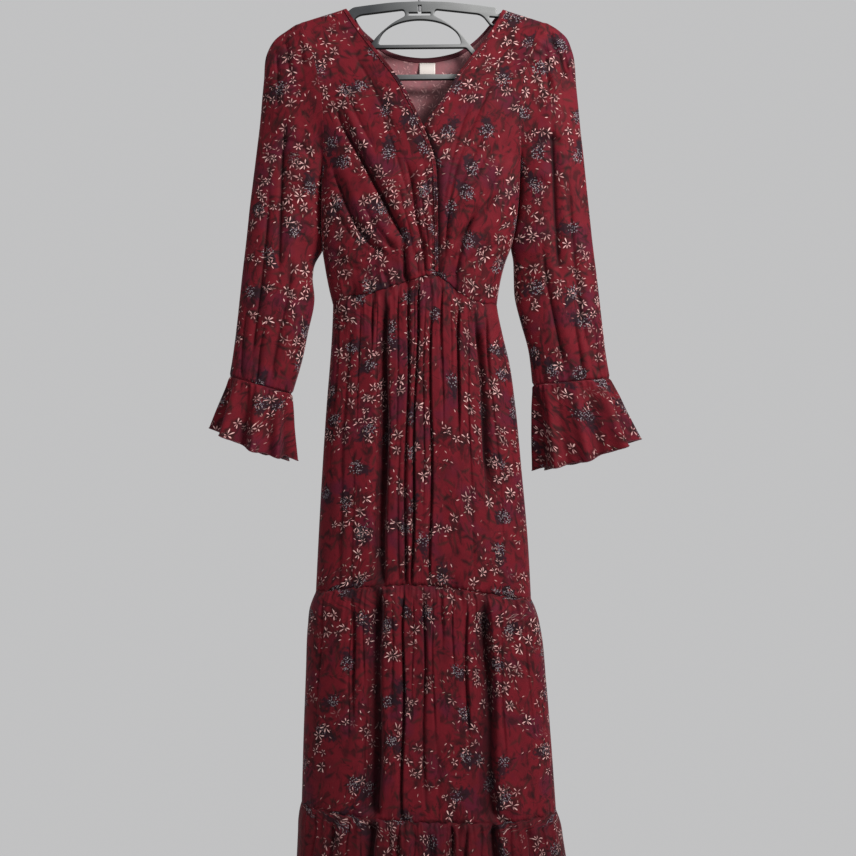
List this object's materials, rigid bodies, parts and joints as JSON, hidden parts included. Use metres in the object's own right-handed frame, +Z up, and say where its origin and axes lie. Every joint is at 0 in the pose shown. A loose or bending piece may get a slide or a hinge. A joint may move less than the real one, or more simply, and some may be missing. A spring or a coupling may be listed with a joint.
{
  "type": "maxi dress on a hanger",
  "caption": "Long-sleeved wrap-front maxi dress in thin printed cloth, with gathered skirt tiers and flared cuff flounces, hanging on a flat plastic hanger.",
  "frame": {"origin": "inner top of the hanger's hook, where a rod carries it", "axes": "+Z up, along the height of the dress; the front of the dress faces -Y; +X is the wearer's left"},
  "size_m": [0.613, 0.1493, 1.3945],
  "materials": {
    "chiffon": "matte, thin crepe chiffon with a small floral print",
    "dark_trim": "matte, folded cloth",
    "label": "satin",
    "hanger_plastic": "satin",
    "steel_wire": "polished"
  },
  "bodies": {
    "root": {"front_bodice_right": "chiffon", "front_bodice_left": "chiffon", "back_bodice": "chiffon", "sleeve_right": "chiffon", "sleeve_left": "chiffon", "cuff_flounce_right": "chiffon", "cuff_flounce_left": "chiffon", "skirt_upper_front": "chiffon", "skirt_upper_back": "chiffon", "skirt_middle_front": "chiffon", "skirt_middle_back": "chiffon", "skirt_lower_front": "chiffon", "skirt_lower_back": "chiffon", "neck_band_right": "dark_trim", "neck_band_left": "dark_trim", "back_neck_binding": "dark_trim", "size_label": "label", "hanger_frame": "hanger_plastic", "hanger_hook": "steel_wire"}
  },
  "joints": []
}
